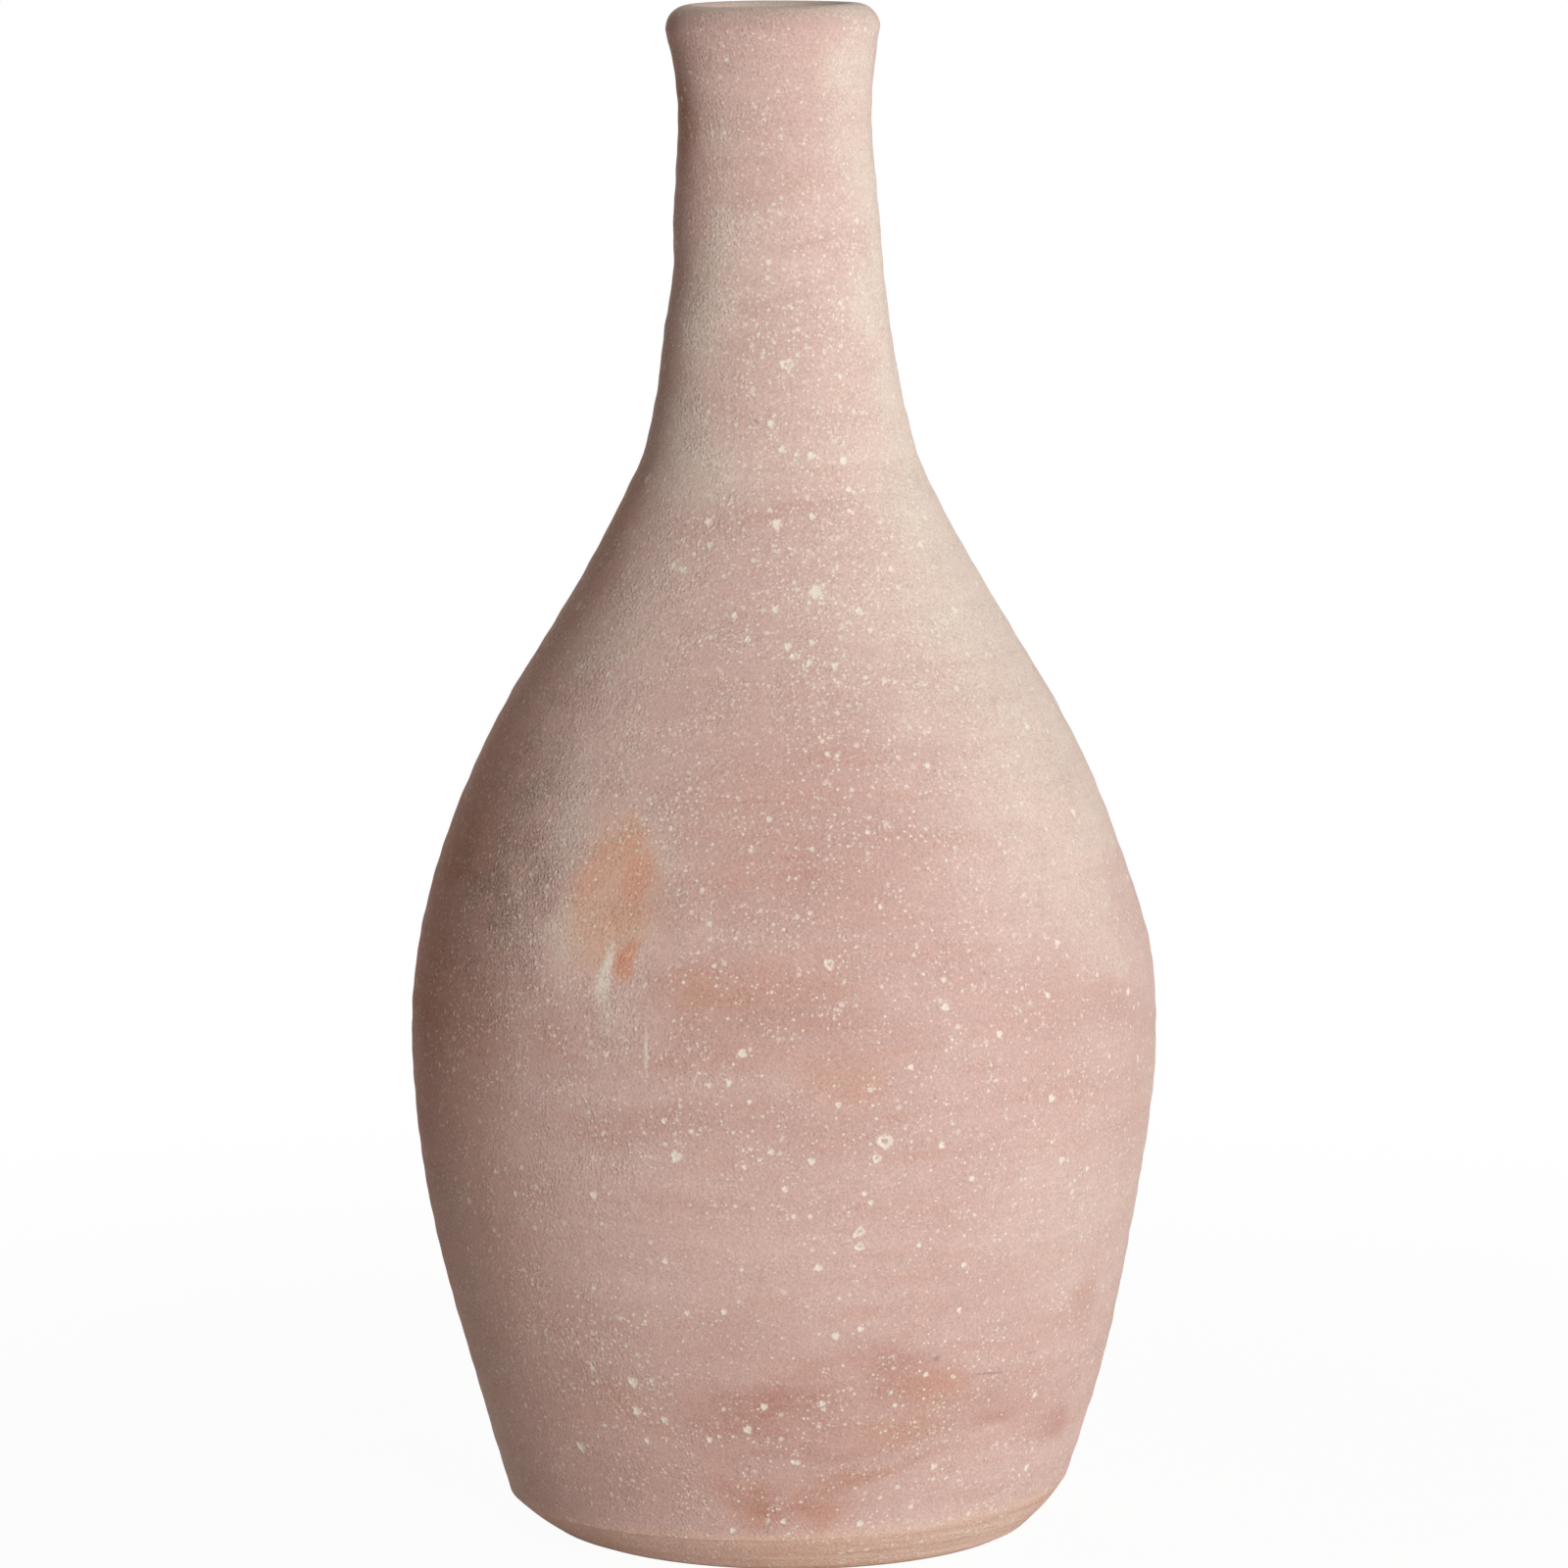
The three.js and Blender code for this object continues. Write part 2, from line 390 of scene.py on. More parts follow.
def pop_relief(turn, level):
    relief = np.zeros_like(level)
    for pop in in_reach(POPS, level):
        distance = pop_distance(pop, turn, level)
        burst = 1 if pop.ring else FLUSH
        relief -= burst * POP_PIT * (1 - ramp(distance, *PIT_EDGE))
        relief += burst * POP_RIM * fade((distance - RIM_PLACE) / RIM_WIDTH)
    return relief


print("a burst pop is", POP_PIT, "mm deep, with a rim", POP_RIM, "mm high")

# %% [markdown]
# ## What the hand left
#
# A thrown pot is never quite round: the axis leans, the foot was cut on a slant, fingers left soft rings,
# and a thumb pressed a dent. These could be sculpted by hand. Written as small pushes on every point, they
# stay measured, repeatable, and the same on both sides of every seam.

# %% Finger rings
RING_DEPTH = 0.1
RING_SPACINGS = (8.5, 13, 21)
RING_SWAYS = 2  # times that the first ring sways in a turn, one more for each next ring
RING_PHASE = 1.7
RING_BEND = 0.8
RING_EVEN = 0.6  # a ring's mean share of that depth
RING_UNEVEN = 0.4  # what the sway adds to that share or takes from it


def finger_rings(turn, level):
    push = np.zeros_like(level)
    climb = level + RING_SPACINGS[0] * turn / 360
    for number, spacing in enumerate(RING_SPACINGS):
        sway = np.sin(np.radians((number + RING_SWAYS) * turn) + RING_PHASE * number)
        ring = np.sin(math.tau * climb / spacing + RING_BEND * sway)
        push += RING_DEPTH * ring * (RING_EVEN + RING_UNEVEN * sway)
    return push


print("finger rings every", RING_SPACINGS, "mm")

# %% Dent and soft flats
THUMB_DENT = Mark(-27, 211, 27, 56, 12, -2)
LEFT = -90
RIGHT = 90
FLATS = (
    Mark(LEFT, 365, 60, 34, 0, -1.3),
    Mark(LEFT, 412, 48, 18, 0, -0.8),
    Mark(LEFT, 300, 90, 45, 0, -0.5),
    Mark(LEFT, 110, 150, 60, 0, 0.8),
    Mark(RIGHT, 325, 75, 48, 0, 0.9),
    Mark(RIGHT, 415, 48, 44, 0, 0.6),
    Mark(RIGHT, 492, 46, 16, 0, -0.8),
    Mark(RIGHT, 105, 150, 52, 0, -1.1),
    Mark(RIGHT, 190, 160, 24, 0, 0.8),
    Mark(RIGHT, 228, 145, 24, 0, -0.5),
)
print(len(FLATS), "soft pushes and one dent shape the wall")

# %% Lean, slant and dip
AXIS_LEAN = 5
FOOT_TILT = 2.6
FOOT_TILT_FADE = 34
LIP_DIP = Mark(-45, 500, 60, 24, 0, -0.9)


def hand_marks(points, turn):
    """Moves an array of points, in millimetres, from the true turned shape to the thrown one."""
    x, y, z = points.T
    radius = np.hypot(x, y)
    push = finger_rings(turn, z) + patches((THUMB_DENT,) + FLATS, turn, z)
    push += pop_relief(turn, z) * on_skin(points)
    grow = np.where(radius > 1, (radius + push) / np.maximum(radius, 1), 1)
    axis = -AXIS_LEAN * (z - widest.height) / height

    rising = z / foot.height
    falling = (foot.height + FOOT_TILT_FADE - z) / FOOT_TILT_FADE
    lift = FOOT_TILT * x / foot.radius * np.clip(np.minimum(rising, falling), 0, 1)
    lift += patches((LIP_DIP,), turn, z)
    return np.stack([x * grow + axis, y * grow, z + lift], axis=1)


print("the axis leans", AXIS_LEAN, "mm, and the foot line is slanted by", FOOT_TILT, "mm")

# %% [markdown]
# ## Fire and dust
#
# The pot is not one colour. Salts have dried to a cream haze down its right side and round the dent, the
# fire left browner flashes low on the belly and near the foot, and the dent is stained orange. Each of
# these is a layer of soft patches that is painted into the vertices, and so are sooty spots and scratches,
# and the places where lime dust lies thicker or the skin is coarser. Some patches in these layers are
# painted light and shade: painted shade darkens and warms the left side, and painted light brightens the
# shaded side of the dent, the lowest wall at both edges and, with the wear, the top of the lip. Noise
# alone could colour a pot like this one, but it would not put the colours where they are.

# %% Haze of salts, and painted light low on the left
HAZE_AND_LIGHT = (
    # down the right side
    Mark(82, 425, 44, 130, 0, 1),
    Mark(60, 440, 20, 70, 0, 0.6),
    Mark(70, 395, 18, 40, 0, 0.3),
    Mark(80, 325, 84, 80, 0, 0.95),
    Mark(68, 250, 96, 72, 8, 0.75),
    Mark(24, 292, 60, 44, 0, 0.3),
    Mark(60, 205, 62, 44, 10, 0.3),
    Mark(60, 167, 50, 12, -4, 0.15),
    Mark(52, 117, 66, 44, 0, 0.28),
    Mark(90, 120, 60, 90, 0, 0.4),
    # rubbed away again there
    Mark(62, 462, 18, 22, 0, -0.3),
    Mark(64, 390, 18, 22, 0, -0.4),
    Mark(58, 368, 22, 30, 0, -0.3),
    Mark(74, 212, 40, 20, 0, -0.25),
    Mark(64, 184, 40, 16, 0, -0.15),
    # front and left of the neck and the shoulder
    Mark(-41, 459, 9, 13, 0, 0.4),
    Mark(-39, 436, 12, 15, 0, 0.4),
    Mark(-28, 430, 16, 16, 0, 0.35),
    Mark(-42, 398, 19, 48, 0, 0.65),
    Mark(-38, 357, 36, 20, 0, 0.6),
    Mark(-40, 330, 30, 20, 0, 0.1),
    Mark(-45, 300, 42, 28, 0, 0.2),
    Mark(-48, 287, 24, 10, 0, 0.2),
    Mark(5, 400, 40, 60, 0, 0.25),
    Mark(10, 361, 34, 14, 0, 0.2),
    # round the dent
    Mark(-37, 262, 16, 20, 0, 0.25),
    Mark(-39, 240, 11, 18, 0, 0.5),
    Mark(-28, 224, 26, 52, 12, 0.55),
    Mark(-38.5, 214, 9, 20, 8, 0.5),
    Mark(-34, 206, 13, 24, 10, 0.35),
    Mark(-27, 187, 9, 11, 0, 0.45),
    Mark(-25, 181, 16, 12, 0, 0.3),
    # at the foot
    Mark(-64, 66, 40, 30, 0, -0.3),
    # painted light: the lowest wall is paler at its left edge
    Mark(-80, 28, 40, 26, 0, 0.45),
    Mark(38, 7, 80, 14, 0, 0.35),
    # on the back
    Mark(150, 335, 70, 50, 0, 0.5),
    Mark(-150, 420, 44, 70, 0, 0.5),
    Mark(-140, 250, 70, 50, 6, 0.4),
    Mark(172, 118, 80, 44, 0, 0.35),
)
print(len(HAZE_AND_LIGHT), "patches of haze")

# %% Paler pink
PALE = (
    # neck and shoulder
    Mark(5, 430, 70, 110, 0, 0.5),
    Mark(0, 320, 90, 50, 0, 0.3),
    Mark(-46, 311, 26, 20, 0, 0.35),
    Mark(-62, 290, 70, 90, 0, 0.35),
    Mark(-38, 270, 40, 50, 0, 0.45),
    # round the dent: paler pink, and painted light on the dent's right and lower slopes, which its shape
    # shades
    Mark(-19, 232, 11, 18, 10, 0.3),
    Mark(-16, 215, 14, 18, 10, 0.25),
    Mark(-21.5, 215, 8, 14, 10, 0.4),
    Mark(-22.5, 208, 7, 13, 10, 0.4),
    Mark(-24, 205, 20, 26, 0, 0.6),
    Mark(-27, 203, 24, 26, 0, 0.3),
    Mark(-22, 186, 16, 14, 0, 0.6),
    Mark(-23.5, 182, 14, 13, 0, 0.45),
    # belly and foot
    Mark(30, 224, 24, 15, 0, 0.35),
    Mark(-16, 118, 80, 36, 0, 0.16),
    # painted light: the lowest wall is paler at both edges
    Mark(-85, 30, 34, 36, 0, 0.4),
    Mark(85, 30, 34, 36, 0, 0.4),
    # on the back
    Mark(165, 430, 60, 90, 0, 0.4),
    Mark(180, 235, 110, 50, 0, 0.3),
    Mark(-125, 105, 80, 44, 0, 0.3),
)
print(len(PALE), "paler patches")

# %% Rust, and painted shade on the left
RUST_AND_SHADE = (
    # belly and dent
    # painted shade: the whole shaded left side is tinted warmer and redder
    Mark(-72, 250, 60, 150, 0, 0.22),
    Mark(-12, 245, 40, 40, 0, 0.12),
    Mark(-20, 220, 9, 20, 8, 0.25),
    Mark(-2, 203, 54, 13, 0, 0.2),
    Mark(-14.5, 197, 15, 14, -20, 0.25),
    Mark(-10, 174, 30, 8, 0, 0.25),
    Mark(9, 169, 28, 12, 0, 0.4),
    # lower wall and foot
    Mark(-54, 118, 44, 62, 0, 0.16),
    Mark(25, 66, 22, 10, 8, 0.3),
    Mark(21, 52, 20, 9, 0, 0.25),
    Mark(-27, 52, 28, 9, 0, 0.18),
    Mark(17, 38.5, 28, 4.5, 2, 0.2),
    Mark(9, 30, 16, 13, 0, 0.25),
    Mark(-6, 29, 15, 13, 0, 0.25),
    # on the back
    Mark(-165, 180, 44, 11, 0, 0.3),
    Mark(150, 48, 26, 11, 6, 0.3),
    Mark(-138, 66, 22, 10, 0, 0.3),
)
print(len(RUST_AND_SHADE), "rusty patches")

# %% Flashes of the fire, and painted shade on the left
HIGH_FLASHES_AND_SHADE = (
    # neck and shoulder
    Mark(50, 474, 22, 30, 0, 0.14),
    Mark(-72, 470, 16, 36, 0, 0.5),
    Mark(-70, 458, 20, 22, 0, 0.35),
    Mark(0, 444, 26, 7, 0, 0.2),
    Mark(8, 421, 9, 2.5, 0, 0.5),
    Mark(-8, 403, 20, 6, 0, 0.25),
    Mark(0, 392, 22, 16, 0, 0.22),
    Mark(0, 345, 40, 6, 0, 0.25),
    Mark(-84, 318, 40, 60, 0, 0.3),
    # upper belly
    Mark(8, 262, 46, 55, 0, 0.28),
    Mark(46, 245, 16, 12, 0, 0.25),
    Mark(5, 233, 10, 8, 0, 0.2),
    Mark(12, 228, 50, 26, 0, 0.22),
    Mark(-9, 228, 18, 14, 0, 0.2),
    Mark(-62, 225, 34, 62, 0, 0.35),
    Mark(-2, 203, 54, 13, 0, 0.25),
    Mark(-14.5, 197, 15, 14, -20, 0.15),
    # painted shade: the whole left side, turned away from the lamps, is darkened
    Mark(-82, 190, 50, 150, 0, 0.55),
    Mark(50, 188, 60, 20, 4, 0.15),
    Mark(-2, 186, 66, 20, -3, 0.45),
    Mark(-58, 185, 40, 36, 0, 0.35),
    Mark(22, 182, 18, 12, 0, 0.2),
    Mark(-37.5, 178, 20, 16, 0, 0.3),
    Mark(54, 174, 70, 24, 0, 0.15),
)
print(len(HIGH_FLASHES_AND_SHADE), "flashes from the neck to the belly")

# %% Flashes lower down and behind
LOW_FLASHES = (
    # lower wall
    Mark(-60, 160, 36, 40, 0, 0.25),
    Mark(0, 153, 80, 14, 0, 0.22),
    Mark(-24, 152, 44, 12, 0, 0.25),
    Mark(-11, 87, 30, 13, 0, 0.25),
    Mark(-34, 84, 40, 20, 0, 0.2),
    Mark(61, 83, 13, 20, 0, 0.25),
    Mark(46, 81, 44, 16, 0, 0.12),
    Mark(15, 77, 20, 7, 8, 0.25),
    Mark(20, 68, 26, 12, 8, 0.35),
    Mark(-4, 67, 14, 10, 0, 0.2),
    Mark(-8, 63, 32, 16, 0, 0.35),
    # near the foot
    Mark(-42, 56, 44, 24, 0, 0.25),
    Mark(4, 54, 84, 40, 0, 0.36),
    Mark(44, 50, 50, 20, 8, 0.3),
    Mark(4, 47, 60, 4, 1, 0.2),
    Mark(40, 45, 20, 7, 4, 0.2),
    Mark(59, 41, 18, 8, -12, 0.35),
    Mark(17, 38.5, 28, 4.5, 2, 0.3),
    Mark(-30, 32, 44, 14, -4, 0.3),
    Mark(-2, 31, 30, 12, 0, 0.25),
    Mark(9, 30, 14, 12, 0, 0.3),
    Mark(-6, 29, 14, 12, 0, 0.4),
    # on the back
    Mark(-155, 186, 80, 22, 4, 0.4),
    Mark(165, 58, 84, 36, 0, 0.35),
    Mark(-122, 46, 50, 13, -5, 0.35),
    Mark(140, 270, 50, 40, 0, 0.25),
    Mark(-170, 300, 60, 12, 0, 0.25),
    Mark(172, 32, 40, 9, 0, 0.35),
    Mark(148, 150, 44, 9, 0, 0.25),
)
print(len(LOW_FLASHES), "flashes lower down and behind")

# %% Stain, embers, soot and scratches
STAIN = (
    Mark(-29.2, 221.5, 19, 31, 4, 0.66),
    Mark(-27.4, 242, 6, 9, 0, 0.25),
)
EMBER = (
    Mark(-24.4, 226, 7.5, 13, -8, 0.4),
    Mark(-27.5, 239, 6, 8, 0, 0.15),
    Mark(-32.5, 231, 6, 12, 25, 0.24),
    Mark(-28, 215, 5, 5, 0, 0.2),
    Mark(-25.4, 204.2, 3.8, 8, 16, 0.72),
)
SOOT = (
    Mark(25.8, 74.1, 1.9, 1.5, 0, 0.6),
    Mark(-8.8, 367.7, 1.7, 1.3, 0, 0.5),
    Mark(36, 66.7, 10, 0.5, 3.5, 0.45),
    Mark(46, 71, 4, 0.5, 0, 0.35),
)
SCRATCHES = (
    Mark(-28.4, 201, 2.6, 11, 9, 1),
    Mark(-28.9, 196, 4.5, 9, 9, 0.85),
    Mark(-20.7, 175, 0.9, 12, -2, 0.7),
    Mark(-13.0, 168.2, 0.5, 8, 18, 0.4),
)
print(len(STAIN) + len(EMBER), "stains in the dent, and", len(SCRATCHES), "scratches")

# %% Dusty and coarse places
DUST_BASE = 0.75
DUST = (
    Mark(0, 480, 60, 25, 0, -0.2),
    Mark(0, 415, 70, 55, 0, 0.5),
    Mark(0, 330, 120, 130, 0, 0.6),
    Mark(75, 260, 70, 120, 0, -0.3),
    Mark(-28.6, 221, 14, 26, 12, -0.6),
    Mark(-50, 215, 50, 70, 0, 0.8),
    Mark(0, 105, 130, 45, 0, -0.3),
    Mark(-35, 75, 60, 45, 0, 0.5),
    Mark(180, 330, 120, 130, 0, 0.4),
    Mark(180, 205, 90, 60, 0, 0.15),
)
COARSE_BASE = 0.42
COARSE = (
    Mark(-60, 415, 30, 70, 0, 0.15),
    Mark(-60, 320, 50, 60, 0, 0.2),
    Mark(-55, 230, 42, 62, 0, 1.5),
    Mark(0, 105, 130, 45, 0, -0.2),
)
print(len(DUST), "changes in the lime dust and", len(COARSE), "in the coarseness of the skin")

# %% [markdown]
# ## Ragged edges
#
# Fire and salt leave no clean ovals. Before a patch is painted, each point's place is shifted by a smooth
# random field, far for the broad patches and a little for the stain. A noise texture could bend the
# patches in the material, but then every layer would need its own copy of all the marks.

# %% A drifting place
Drift = namedtuple("Drift", "reach size seed")
BROAD_ACROSS = (Drift(5, 60, 1), Drift(2, 18, 2))
BROAD_UP = (Drift(4, 60, 3), Drift(1.5, 18, 4))
FINE_ACROSS = (Drift(1.2, 12, 6),)
FINE_UP = (Drift(1.5, 14, 5),)
DRIFT_WAVES = 8
WAVE_SPREAD = (0.6, 1.5)  # the shortest and longest wave, as shares of the drift's size


def wander(points, drifts):
    """How far each point strays, in millimetres: a few sine waves in random directions for each drift."""
    field = np.zeros(len(points))
    for drift in drifts:
        random = np.random.default_rng(drift.seed)
        for _ in range(DRIFT_WAVES):
            way = random.normal(size=3)
            way *= math.tau / (np.linalg.norm(way) * drift.size * random.uniform(*WAVE_SPREAD))
            wave = np.sin(points @ way + random.uniform(0, math.tau))
            field += drift.reach / math.sqrt(DRIFT_WAVES) * wave
    return field


print("broad patches stray by some", sum(drift.reach for drift in BROAD_ACROSS), "mm round the wall")

# %% Blots and lime
BLOT_CORE = 0.4
BLOT_EDGE = 1.1
LIME_EDGE = (0.65, 1.15)  # shares of the pop's half size
CRATER = 0.8
CRATER_EDGE = (0.25, 0.55)
# the top of the lip is made paler: partly worn pale, partly painted light from above
RIM_LIME_AND_LIGHT = 0.3
LIP_WEAR_AND_LIGHT = 5


def blots(marks, turn, level):
    """The marks' strengths, added up, each even in its middle and soft only at its edge."""
    cover = np.zeros_like(level)
    for mark in marks:
        cover += mark.strength * (1 - ramp(distance_to(mark, turn, level), BLOT_CORE, BLOT_EDGE))
    return cover


def lime_and_lip_light(turn, level):
    lime = np.zeros_like(level)
    for pop in in_reach(POPS, level):
        distance = pop_distance(pop, turn, level)
        whole = 1 - ramp(distance, *LIME_EDGE)
        hollow = CRATER * (1 - ramp(distance, *CRATER_EDGE)) if pop.ring else 0
        lime = np.maximum(lime, whole - hollow)
    for mark in in_reach(SCRATCHES, level):
        lime = np.maximum(lime, patches((mark,), turn, level))
    # painted light and wear: lime makes the top of the lip paler
    return lime + RIM_LIME_AND_LIGHT * ramp(level, height - LIP_WEAR_AND_LIGHT / 2, height - 0.5)


print("the lip is worn pale over its top", LIP_WEAR_AND_LIGHT, "mm")

# %% Painting the layers
SCRAPED_ABOVE = 5
# painted light and wear: haze makes the top of the lip paler, outside and inside the mouth
RIM_WEAR_AND_LIGHT = 0.35
MOUTH_WEAR_AND_LIGHT = 0.9


def paint(mesh, points, turn, skin):
    level = points[:, 2]
    wall = outer_radius(level)
    strayed = turn + np.degrees(wander(points, BROAD_ACROSS) / wall)
    risen = level + wander(points, BROAD_UP)
    stirred = turn + np.degrees(wander(points, FINE_ACROSS) / wall)
    lifted = level + wander(points, FINE_UP)
    layers = {
        "haze_and_light": patches(HAZE_AND_LIGHT, strayed, risen),
        "pale": patches(PALE, strayed, risen),
        "rust_and_shade": patches(RUST_AND_SHADE, strayed, risen),
        "flash_and_shade": patches(HIGH_FLASHES_AND_SHADE + LOW_FLASHES, strayed, risen),
        "stain": blots(STAIN, stirred, lifted),
        "ember": blots(EMBER, stirred, lifted),
        "dust": DUST_BASE + patches(DUST, strayed, risen),
        "coarse": COARSE_BASE + patches(COARSE, strayed, risen),
        "soot": patches(SOOT, turn, level),
        "lime": lime_and_lip_light(turn, level),
        "scraped": 1 - ramp(level, foot.height - 1, foot.height + SCRAPED_ABOVE),
    }
    layers = {name: np.where(skin, values, 0) for name, values in layers.items()}
    # painted light and wear: paler haze over the top of the lip, outside and inside the mouth
    layers["haze_and_light"] += np.where(skin, RIM_WEAR_AND_LIGHT, MOUTH_WEAR_AND_LIGHT) * ramp(level, height - LIP_WEAR_AND_LIGHT, height - 1)
    for name, values in layers.items():
        layer = mesh.attributes.new(name, "FLOAT", "POINT")
        layer.data.foreach_set("value", values.astype(np.float32))


print("the knife's scraping ends", SCRAPED_ABOVE, "mm above the floor slab")

# %% [markdown]
# ## Turning a section
#
# Every section is a closed outline turned round the axis, as on the wheel. Spin sweeps the outline through
# an eighth of a turn, a second Spin copies that sector round, and the copies are welded where they meet. A
# Screw modifier would do the same, but the hand's marks have to be pressed into real vertices afterwards.
# Round the lime pops and scratches the mesh is divided further, because they are as small as its faces.

# %% Finer faces near small marks
FINE_CUTS = 5
FINE_REACH = 1.6


def divide_near_marks(bm):
    points = np.array([vertex.co for vertex in bm.verts]) / MM
    turn = turn_of(points)
    level = points[:, 2]
    near = np.zeros(len(points), dtype=bool)
    for mark in in_reach(POPS + SCRATCHES + SOOT, level):
        wide = mark.half_width + FINE_REACH
        tall = mark.half_height + FINE_REACH
        near |= distance_to(mark._replace(half_width=wide, half_height=tall), turn, level) < 1
    near &= on_skin(points)
    edges = [edge for edge in bm.edges if near[edge.verts[0].index] and near[edge.verts[1].index]]
    bmesh.ops.subdivide_edges(bm, edges=edges, cuts=FINE_CUTS, use_grid_fill=True)
    return len(edges)


print("faces near small marks are cut into", (FINE_CUTS + 1) ** 2)

# %% Spin an outline
SECTORS = 8
SECTOR_STEPS = 64
WELD = 0.001 * MM
ORIGIN = Vector((0, 0, 0))
UP = Vector((0, 0, 1))


def spun(outline, closed):
    bm = bmesh.new()
    ring = [bm.verts.new((0, -radius * MM, level * MM)) for radius, level in outline]
    line = [bm.edges.new(pair) for pair in zip(ring, ring[1:])]
    if closed:
        line.append(bm.edges.new((ring[-1], ring[0])))
    sector = math.tau / SECTORS
    around = {"cent": ORIGIN, "axis": UP}
    bmesh.ops.spin(bm, geom=ring + line, angle=sector, steps=SECTOR_STEPS, **around)
    first = bm.verts[:] + bm.edges[:] + bm.faces[:]
    bmesh.ops.spin(bm, geom=first, angle=math.tau - sector, steps=SECTORS - 1, use_duplicate=True, **around)
    bmesh.ops.remove_doubles(bm, verts=bm.verts, dist=WELD)
    bmesh.ops.recalc_face_normals(bm, faces=bm.faces)
    bm.verts.index_update()
    return bm


print("each row has", SECTORS * SECTOR_STEPS, "faces")

# %% Turn an outline into a piece
SHARP_EDGE = math.radians(38)


def turned(name, outline, closed=True):
    bm = spun(outline, closed)
    divided = divide_near_marks(bm)
    mesh = bpy.data.meshes.new(name)
    bm.to_mesh(mesh)
    bm.free()

    flat = np.empty(3 * len(mesh.vertices), dtype=np.float32)
    mesh.vertices.foreach_get("co", flat)
    points = flat.reshape(-1, 3).astype(float) / MM
    turn = turn_of(points)
    paint(mesh, points, turn, on_skin(points))
    moved = hand_marks(points, turn) * MM
    mesh.vertices.foreach_set("co", moved.ravel().astype(np.float32))
    mesh.polygons.foreach_set("use_smooth", np.ones(len(mesh.polygons), dtype=bool))
    mesh.set_sharp_from_angle(angle=SHARP_EDGE)
    mesh.update()

    piece = bpy.data.objects.new(name, mesh)
    bpy.context.scene.collection.objects.link(piece)
    print(name, "has", len(mesh.polygons), "faces, with", divided, "edges divided near marks")
    return piece


print("edges sharper than", round(math.degrees(SHARP_EDGE)), "degrees stay crisp")

# %% [markdown]
# ## The floor slab
#
# The pot stands on a flat disc of clay whose edge was cut back to a bevel with a knife. The bevel's lower
# edge is worn round. The upper face carries the groove that the wall is keyed into. A cylinder with a
# Bevel modifier comes close, but one outline holds the swell, the wear and the groove together.

# %% Floor slab
underside = [(0, 0), (STANDING_RADIUS / 2, 0), (STANDING_RADIUS, 0)]
upper_face = luting_key(foot, SLIP_FILM) + [(0, foot.height)]
floor_slab = turned("clay_floor_slab", underside + bevel_face() + upper_face, closed=False)

# %% [markdown]
# ## The walls
#
# Four rings of wall stand on one another: the lower wall, the belly with its dent, the shoulder and the
# root of the neck. Each has a tongue below and a groove above. Their outer edges meet exactly, because the
# potter smeared every seam closed. One turned wall cut in four would look the same, but it would have no
# seams inside.

# %% Rings of wall


def wall_ring(name, *stations):
    outline = wall_face(stations, 0, OUTER_ROW)
    outline += luting_key(stations[-1], SLIP_FILM)
    outline += wall_face(stations, 1, INNER_ROW)[::-1]
    outline += luting_key(stations[0], 0)[::-1]
    return turned(name, outline)


lower_wall = wall_ring("clay_lower_wall", foot, belly_seam)
belly_wall = wall_ring("clay_belly_wall", belly_seam, widest, shoulder_seam)
shoulder = wall_ring("clay_shoulder", shoulder_seam, neck_root)
lower_neck = wall_ring("clay_lower_neck", neck_root, neck_seam)

# %% [markdown]
# ## The neck and its lip
#
# The slim neck flares into a lip that was rolled over a wet finger: a full round outside, a short one
# inside. Two arcs close the outline at the top. A bevelled edge would do from afar, but here the rim faces
# the eye.

# %% Upper neck
MOUTH_ROUND = 2.6

mouth_radius = waist.radius - NECK_WALL
mouth_middle = (mouth_radius + MOUTH_ROUND, height - MOUTH_ROUND)
mouth_round = arc(mouth_middle, MOUTH_ROUND, 90, 180, LIP_ROWS // 2)
neck_outside = wall_face((neck_seam, waist, lip), 0, OUTER_ROW)
neck_inside = wall_face((neck_seam, waist), 1, INNER_ROW)
neck_tongue = luting_key(neck_seam, 0)
neck_outline = neck_outside + lip_round[1:] + mouth_round + neck_inside[::-1] + neck_tongue[::-1]
upper_neck = turned("clay_upper_neck", neck_outline)

# %% [markdown]
# ## Colours and nodes
#
# Colours are written as they look on a screen, as sRGB hex values, and one function turns them to the
# linear values that the renderer works in. Another adds a node, sets its options and fills its inputs.
# Nodes could be wired by hand in the editor, but a script can be read, and run again.

# %% Helpers for materials


def linear(code):
    values = [int(code[start:start + 2], 16) / 255 for start in (1, 3, 5)]
    bent = [((value + 0.055) / 1.055) ** 2.4 if value > 0.04045 else value / 12.92 for value in values]
    return bent + [1]


def add_node(tree, kind, inputs=None, **options):
    """Adds a node. An input takes a value, a socket, or another node for that node's first output."""
    node = tree.nodes.new(kind)
    for option, value in options.items():
        setattr(node, option, value)
    for key, value in (inputs or {}).items():
        source = value.outputs[0] if isinstance(value, bpy.types.Node) else value
        if isinstance(source, bpy.types.NodeSocket):
            tree.links.new(source, node.inputs[key])
        else:
            node.inputs[key].default_value = source
    return node


print("pink clay in linear values:", [round(value, 3) for value in linear("#d1b1a9")])

# %% [markdown]
# ## Patterns in the clay
#
# Low-fired terracotta is uneven at every scale: clouds from the kiln, bands from the wet sponge, thin
# streaks from the turning wheel, clumps of lime dust, a mottled skin and grains of sand. Each is a noise
# of its real size in millimetres, and the bands and streaks are squeezed in height. One noise with a lot
# of detail would be quicker, but its scales could not be mixed one by one.

